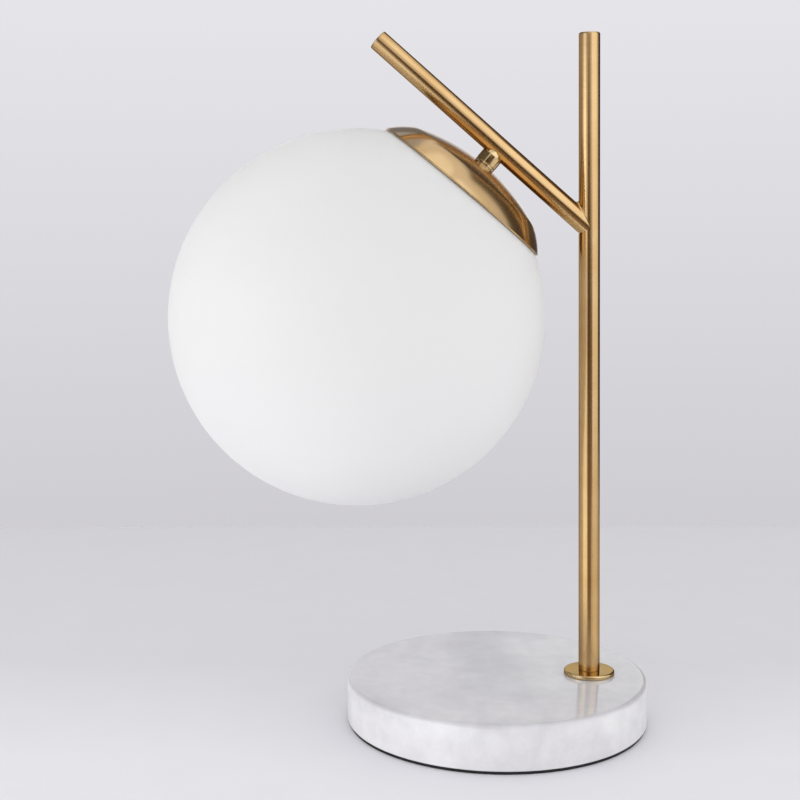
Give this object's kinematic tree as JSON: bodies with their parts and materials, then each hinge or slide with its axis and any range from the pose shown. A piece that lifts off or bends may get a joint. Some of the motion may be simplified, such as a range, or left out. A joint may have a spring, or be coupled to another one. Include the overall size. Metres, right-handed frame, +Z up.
{
  "type": "glass globe table lamp",
  "caption": "Table lamp with an opal glass globe under a spun brass canopy, hung from a slanted brass arm on an upright with a round marble base.",
  "frame": {"origin": "middle of the base's underside, on the table", "axes": "+Z up along the upright; +X from the middle of the base towards the upright; the arm and the globe reach towards -X in the plane y = 0"},
  "size_m": [0.2533, 0.1996, 0.3677],
  "materials": {
    "brass": "satin, fine lines round the tubes",
    "marble": "polished",
    "opal_glass": "opal white, smooth gloss",
    "black_rubber": "matte",
    "white_silicone": "matte",
    "zinc_steel": "zinc plated",
    "black_plastic": "moulded, slight sheen",
    "ivory_plastic": "moulded",
    "white_plastic": "satin",
    "bulb_metal": "rolled, bright",
    "brown_lead": "insulation",
    "blue_lead": "insulation"
  },
  "bodies": {
    "stand": {"marble_base": "marble", "base_pad": "black_rubber", "cable_gland": "black_rubber", "stem_flange": "brass", "stem_thread": "zinc_steel", "clamp_washer": "zinc_steel", "base_lock_washer": "zinc_steel", "base_nut": "zinc_steel", "terminal_block": "ivory_plastic", "upright_tube": "brass", "upright_cap": "brass", "lead_live": "brown_lead", "lead_neutral": "blue_lead", "arm_tube": "brass", "arm_cap": "brass", "arm_boss": "brass", "head_thread": "zinc_steel", "neck_spacer": "brass", "canopy": "brass", "canopy_washer": "zinc_steel", "canopy_nut": "zinc_steel", "plate_nut": "zinc_steel", "fitter_plate": "zinc_steel", "neck_gasket": "white_silicone", "globe_clip_1": "zinc_steel", "globe_clip_2": "zinc_steel", "globe_clip_3": "zinc_steel", "lampholder_cap": "black_plastic", "lampholder_skirt": "black_plastic", "lampholder_insert": "black_plastic", "lampholder_sleeve": "brass", "lampholder_contact": "brass"},
    "globe": {"globe_glass": "opal_glass"},
    "bulb": {"bulb_contact": "bulb_metal", "bulb_insulator": "black_plastic", "bulb_cap": "bulb_metal", "bulb_housing": "white_plastic", "bulb_diffuser": "white_plastic"}
  },
  "joints": [
    {"name": "globe_pull", "type": "slide", "parent": "stand", "child": "globe", "axis": [-0.6481, 0, -0.7615], "range_m": [0, 0.13]},
    {"name": "bulb_unscrew", "type": "slide", "parent": "stand", "child": "bulb", "axis": [-0.6481, 0, -0.7615], "range_m": [0, 0.03]}
  ]
}
